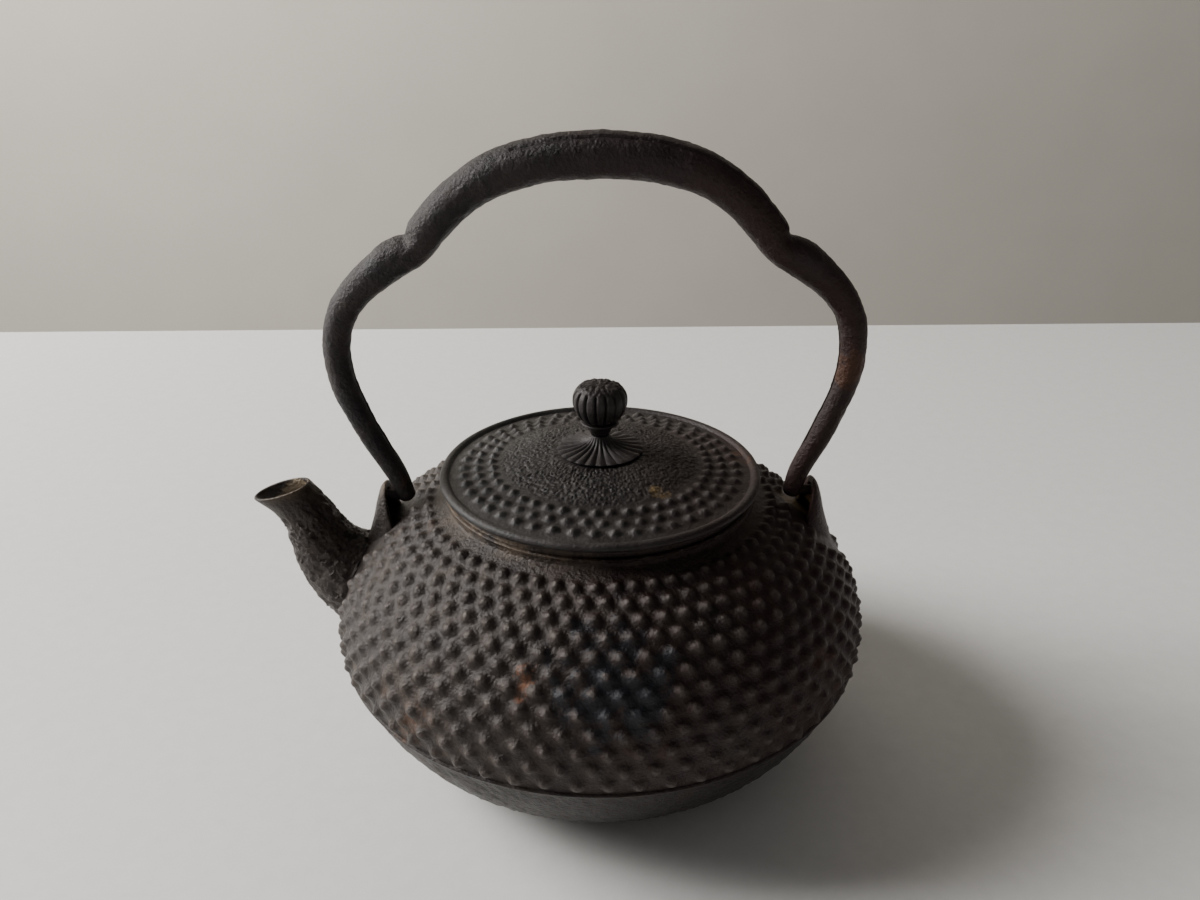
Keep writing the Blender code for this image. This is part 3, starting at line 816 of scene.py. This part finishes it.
# %% Iron
def old_iron(name, dark, dusty, maroon_and_shade, worn_and_highlight, rust_amount, shine, pit_depth, collar_stain_and_bowl_dark=0.0, marks=()):
    """Lacquered iron: dark and dusty patches, thin maroon lacquer with painted shade towards +X,
    worn tips with a painted highlight, a darker bowl, painted light in the spout's dish, rust and
    fine pits.
    """
    material = bpy.data.materials.new(name)
    material.use_nodes = True
    tree = material.node_tree
    shader = tree.nodes["Principled BSDF"]
    place = add_node(tree, 'ShaderNodeTexCoord').outputs["Object"]
    split = add_node(tree, 'ShaderNodeSeparateXYZ', {"Vector": place})
    x_place = split.outputs["X"]
    z_place = split.outputs["Z"]
    stud = add_node(tree, 'ShaderNodeAttribute', attribute_name="stud").outputs["Fac"]
    inside = add_node(tree, 'ShaderNodeAttribute', attribute_name="inside").outputs["Fac"]

    broad = noise(tree, place, 28.0, 5.0)
    patchy = noise(tree, place, 120.0, 6.0, 0.65)
    grain = noise(tree, place, 1100.0, 4.0, 0.7)
    pits = add_node(tree, 'ShaderNodeTexVoronoi', {"Vector": place, "Scale": 900.0}).outputs[0]

    colour = blend_colours(tree, stretch(tree, patchy, 0.38, 0.66), (*dark, 1), (*dusty, 1))
    # Maroon grows towards +X, the side away from the window: partly thin lacquer, partly painted
    # shade.
    towards_shaded_side = stretch(tree, x_place, -0.03, 0.05, 0.0, 1.0)
    thin = maths(tree, 'MULTIPLY', stretch(tree, broad, 0.36, 0.52, 0.35, 1.0), towards_shaded_side)
    colour = blend_colours(tree, thin, colour, (*maroon_and_shade, 1))
    # The bowl below the seam is darker.
    darker_below_seam = maths(tree, 'MULTIPLY', stretch(tree, z_place, 0.0385, 0.0355), collar_stain_and_bowl_dark)
    colour = blend_colours(tree, darker_below_seam, colour, (*BOWL_DARK, 1))
    collar_ring = maths(tree, 'MULTIPLY', stretch(tree, z_place, 0.0825, 0.0870),
                        stretch(tree, z_place, 0.0905, 0.0890))
    spill = maths(tree, 'MULTIPLY', stretch(tree, x_place, 0.010, -0.030, 0.1, 0.85),
                  stretch(tree, patchy, 0.40, 0.58))
    ochre = maths(tree, 'MULTIPLY', maths(tree, 'MULTIPLY', collar_ring, spill), collar_stain_and_bowl_dark)
    colour = blend_colours(tree, ochre, colour, (*COLLAR_STAIN, 1))
    # Lighter tips: partly wear, partly a painted highlight; the hollows between them stay darker
    # as painted shade.
    tips = maths(tree, 'MULTIPLY', stretch(tree, stud, 0.35, 0.95, 0.0, 0.8),
                 stretch(tree, patchy, 0.3, 0.6, 0.4, 1.0))
    colour = blend_colours(tree, tips, colour, (*worn_and_highlight, 1))
    for at, reach, tint in marks:
        colour = blend_colours(tree, mark(tree, place, patchy, at, reach), colour, (*tint, 1))
    spots = maths(tree, 'MULTIPLY', stretch(tree, broad, 0.60, 0.68),
                  stretch(tree, patchy, 0.50, 0.62, 0.0, rust_amount))
    colour = blend_colours(tree, spots, colour, (*SPECK_RUST, 1))
    # The spout's inner dish: its own brown, lightened as painted light.
    colour = blend_colours(tree, inside, colour, (*SPOUT_DISH_PAINTED_LIGHT, 1))
    tree.links.new(colour, shader.inputs["Base Color"])

    rough = stretch(tree, patchy, 0.3, 0.7, shine, shine + 0.2)
    rough = maths(tree, 'SUBTRACT', rough, maths(tree, 'MULTIPLY', tips, 0.10))
    tree.links.new(rough, shader.inputs["Roughness"])
    shader.inputs["Metallic"].default_value = 0.2
    shader.inputs["Specular IOR Level"].default_value = 0.4
    fine = bump(tree, grain, pit_depth)
    tree.links.new(bump(tree, pits, pit_depth * 0.6, 0.6, fine), shader.inputs["Normal"])
    print("finish", name)
    return material


# %% Finishes
# A darker bluish patch at the front, a stud that rusted and crust in the right lug.
body_marks = [((3 * MM, -74 * MM, 65 * MM), 15 * MM, DARK_FRONT_PATCH),
              ((-21 * MM, -72 * MM, 65 * MM), 4.2 * MM, RUST),
              ((63 * MM, 1.6 * MM, 78 * MM), 6 * MM, OCHRE)]
body_iron = old_iron("kettle_iron", (0.014, 0.009, 0.008), (0.042, 0.031, 0.025),
                     (0.022, 0.006, 0.005), (0.080, 0.064, 0.056), 0.25, 0.32, 0.42 * MM, 0.9,
                     body_marks)
lid_iron = old_iron("lid_iron_skin", (0.014, 0.012, 0.012), (0.040, 0.037, 0.035),
                    (0.022, 0.011, 0.010), (0.052, 0.047, 0.044), 0.25, 0.42, 0.24 * MM,
                    marks=[((15 * MM, -23 * MM, 94.6 * MM), 3.2 * MM, OCHRE)])
bail_iron = old_iron("forged_iron", (0.008, 0.006, 0.007), (0.034, 0.025, 0.024),
                     (0.022, 0.007, 0.006), (0.07, 0.06, 0.05), 0.4, 0.42, 0.45 * MM,
                     marks=[((74 * MM, -4 * MM, 125 * MM), 9 * MM, (0.060, 0.022, 0.010))])
knob_iron = old_iron("handled_iron", (0.014, 0.012, 0.013), (0.032, 0.029, 0.029),
                     (0.024, 0.012, 0.012), (0.060, 0.055, 0.055), 0.1, 0.42, 0.16 * MM)

# %% [markdown]
# ## Putting the pieces in the frame
# Every new piece stands for the solids whose place it takes, rides on the body that moves it and
# takes its finish. The rivet and the washer keep their solids, with handled iron.


# %% Place the pieces
def settle(piece, material, rides_on, slot, *nodes):
    piece.data.materials.clear()
    piece.data.materials.append(material)
    smooth(piece)
    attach(piece, rides_on)
    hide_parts(*nodes)


settle(body, body_iron, "kettle", "body_iron", "kettle_body")
settle(spout, body_iron, "kettle", "body_iron", "spout")
settle(lug_left, body_iron, "kettle", "body_iron", "lug_spout_side")
settle(lug_right, body_iron, "kettle", "body_iron", "lug_far_side")
settle(bail, bail_iron, "bail", "bail_iron", "bail_handle")
settle(lid, lid_iron, "lid", "lid_iron", "lid")
settle(knob_seat, knob_iron, "lid", "knob_iron", "knob_seat")
settle(knob, knob_iron, "knob", "knob_iron", "knob")
for node in ("knob_pin", "knob_washer"):
    frame["nodes"][node].material_slots[0].material = knob_iron

# %% [markdown]
# ## Stage, light and camera
# A pale table and a pale wall. A large soft light stands like a window to the left and a little
# behind, so each stud is bright on its upper left and dark on its lower right.

# %% Stage
TABLE_EDGE = 0.43
WALL_DISTANCE = 1.6


def pale(name, colour, grain):
    material = bpy.data.materials.new(name)
    material.use_nodes = True
    tree = material.node_tree
    place = add_node(tree, 'ShaderNodeTexCoord').outputs["Object"]
    fleck = noise(tree, place, grain, 5.0, 0.6)
    shade = tuple(c * 0.88 for c in colour)
    tree.links.new(blend_colours(tree, fleck, (*shade, 1), (*colour, 1)),
                   tree.nodes["Principled BSDF"].inputs["Base Color"])
    tree.nodes["Principled BSDF"].inputs["Roughness"].default_value = 0.6
    return material


deselect_all()
bpy.ops.mesh.primitive_plane_add(size=4.0, location=(0, TABLE_EDGE - 2.0, 0))
floor = name_piece("floor")
floor.data.materials.append(pale("pale_table", (0.88, 0.87, 0.85), 160.0))
bpy.ops.mesh.primitive_plane_add(size=6.0, location=(0, WALL_DISTANCE, 1.0),
                                 rotation=(math.pi / 2, 0, 0))
wall = name_piece("wall")
wall.data.materials.append(pale("pale_wall", (0.86, 0.80, 0.70), 6.0))


# %% Light
def soft_light(name, place, aim, size, power, colour):
    data = bpy.data.lights.new(name, 'AREA')
    data.size = size
    data.energy = power
    data.color = colour
    lamp = bpy.data.objects.new(name, data)
    lamp.location = place
    lamp.rotation_euler = (Vector(aim) - Vector(place)).to_track_quat('-Z', 'Y').to_euler()
    bpy.context.scene.collection.objects.link(lamp)


AIM = (0, 0, 0.08)
soft_light("window", (-1.72, 0.34, 1.10), AIM, 1.1, 84.0, (1.0, 0.985, 0.96))
soft_light("room", (0.2, -0.9, 0.9), AIM, 1.2, 0.5, (1.0, 0.94, 0.90))
world = bpy.data.worlds.new("room_light")
bpy.context.scene.world = world
world.use_nodes = True
world.node_tree.nodes["Background"].inputs["Color"].default_value = (0.87, 0.86, 0.85, 1)
world.node_tree.nodes["Background"].inputs["Strength"].default_value = 0.11

# %% Camera
camera_data = bpy.data.cameras.new("camera")
camera_data.sensor_width = 36.0
camera_data.lens = 28.65
camera = bpy.data.objects.new("camera", camera_data)
camera.location = (-0.0069, -0.2687, 0.2220)
camera.rotation_euler = (math.radians(65.07), 0, math.radians(-1.47))
bpy.context.scene.collection.objects.link(camera)
bpy.context.scene.camera = camera
